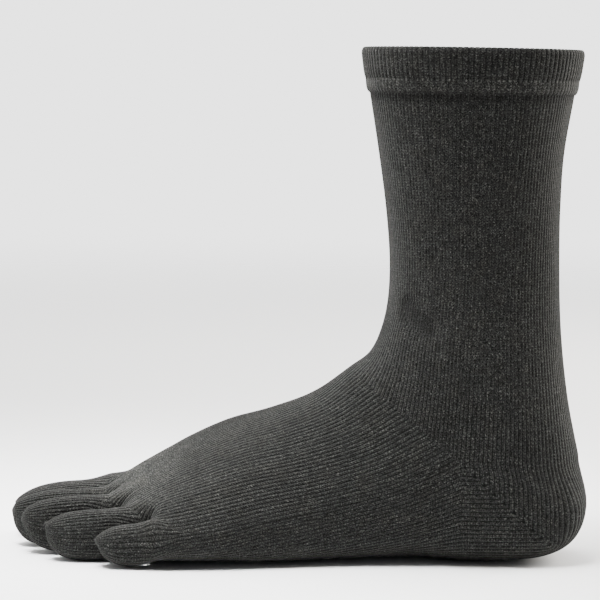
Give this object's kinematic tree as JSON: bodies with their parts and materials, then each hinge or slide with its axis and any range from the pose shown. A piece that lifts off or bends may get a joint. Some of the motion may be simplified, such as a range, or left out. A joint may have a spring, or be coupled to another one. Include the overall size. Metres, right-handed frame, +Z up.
{
  "type": "five-toe crew sock",
  "caption": "Left crew sock of fine charcoal heather knit with a separate pocket for each toe, a mitred heel pocket and a turned ribbed welt, in the shape it has on a foot.",
  "frame": {"origin": "where the wearer's heel sits, on the inner face of the sole, one layer of knit above the floor", "axes": "+Z up the leg, -X towards the toes, +Y towards the big toe's side, so the little toe's side faces -Y"},
  "size_m": [0.254, 0.0949, 0.2216],
  "materials": {
    "welt_knit": "matt ribbed knit, charcoal heather",
    "body_knit": "matt fine plain knit, charcoal heather"
  },
  "bodies": {
    "root": {"cuff_welt": "welt_knit", "leg_tube": "body_knit", "heel_pocket": "body_knit", "foot_tube": "body_knit", "toe_base": "body_knit", "little_toe": "body_knit", "fourth_toe": "body_knit", "third_toe": "body_knit", "second_toe": "body_knit", "big_toe": "body_knit"}
  },
  "joints": []
}
